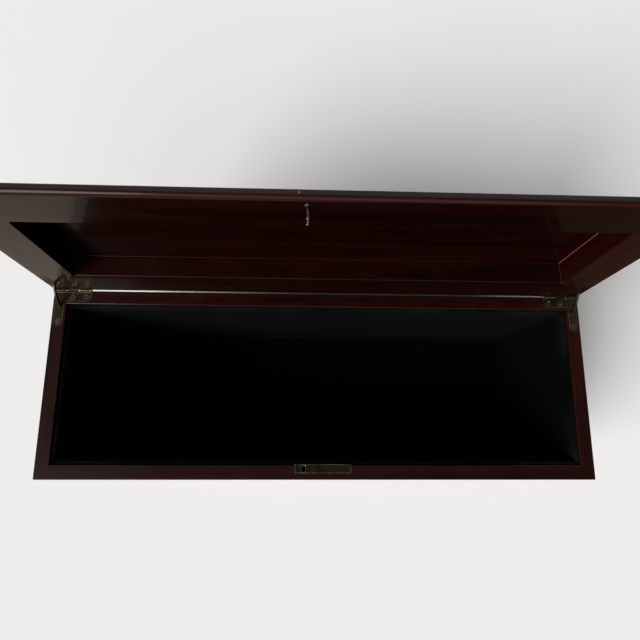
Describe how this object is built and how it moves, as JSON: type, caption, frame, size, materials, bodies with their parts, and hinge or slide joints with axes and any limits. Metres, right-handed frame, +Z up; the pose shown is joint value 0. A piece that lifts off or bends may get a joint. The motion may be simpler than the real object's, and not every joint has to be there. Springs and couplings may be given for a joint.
{
  "type": "folded flag display case",
  "caption": "Long lacquered wooden chest lined with dark velvet, with a raised recessed lid on corner stop hinges and a small inlaid lock.",
  "frame": {"origin": "middle of the underside of the base felt, where the chest stands", "axes": "+X along the length to the right seen from the front, +Y from the front to the hinge side, +Z up"},
  "size_m": [0.48, 0.1983, 0.341],
  "materials": {
    "lacquered_wood": "dark red-brown mahogany under gloss lacquer",
    "velvet": "blue-black short-pile velvet on board",
    "felt": "black pressed felt",
    "antique_brass": "dulled, browned brass",
    "steel": "plain steel"
  },
  "bodies": {
    "case": {"front_wall": "lacquered_wood", "rear_wall": "lacquered_wood", "left_wall": "lacquered_wood", "right_wall": "lacquered_wood", "bottom_panel": "lacquered_wood", "base_felt": "felt", "lining_floor": "velvet", "lining_front": "velvet", "lining_rear": "velvet", "lining_left": "velvet", "lining_right": "velvet", "left_case_leaf": "antique_brass", "right_case_leaf": "antique_brass", "left_hinge_pin": "antique_brass", "right_hinge_pin": "antique_brass", "case_leaf_screws": "antique_brass", "lock_plate": "antique_brass", "lock_case": "steel", "lock_key_post": "steel", "lock_screws": "steel", "keyhole_escutcheon": "antique_brass", "escutcheon_pins": "antique_brass"},
    "lid": {"lid_front_rail": "lacquered_wood", "lid_rear_rail": "lacquered_wood", "lid_left_rail": "lacquered_wood", "lid_right_rail": "lacquered_wood", "lid_panel": "lacquered_wood", "left_lid_leaf": "antique_brass", "right_lid_leaf": "antique_brass", "lid_leaf_screws": "antique_brass", "left_stay_rivet": "antique_brass", "right_stay_rivet": "antique_brass", "catch_pin": "antique_brass", "catch_collar": "antique_brass"},
    "stay_left": {"left_stay": "antique_brass"},
    "stay_right": {"right_stay": "antique_brass"},
    "bolt": {"lock_bolt": "steel"}
  },
  "joints": [
    {"name": "lid_hinge", "type": "hinge", "parent": "case", "child": "lid", "pos_m": [0, 0.082, 0.1782], "axis": [1, 0, 0], "range_deg": [0, 95.3]},
    {"name": "left_stay_rivet_turn", "type": "hinge", "parent": "lid", "child": "stay_left", "pos_m": [-0.2338, 0.08513, 0.19247], "axis": [1, 0, 0], "range_deg": [-31.2, 0]},
    {"name": "right_stay_rivet_turn", "type": "hinge", "parent": "lid", "child": "stay_right", "pos_m": [0.2338, 0.08513, 0.19247], "axis": [1, 0, 0], "range_deg": [-31.2, 0]},
    {"name": "bolt_slide", "type": "slide", "parent": "case", "child": "bolt", "axis": [-1, 0, 0], "range_m": [0, 0.003]}
  ],
  "couplings": [
    {"joint": "left_stay_rivet_turn", "follows": "lid_hinge", "ratio": -0.32616},
    {"joint": "right_stay_rivet_turn", "follows": "lid_hinge", "ratio": -0.32616}
  ]
}
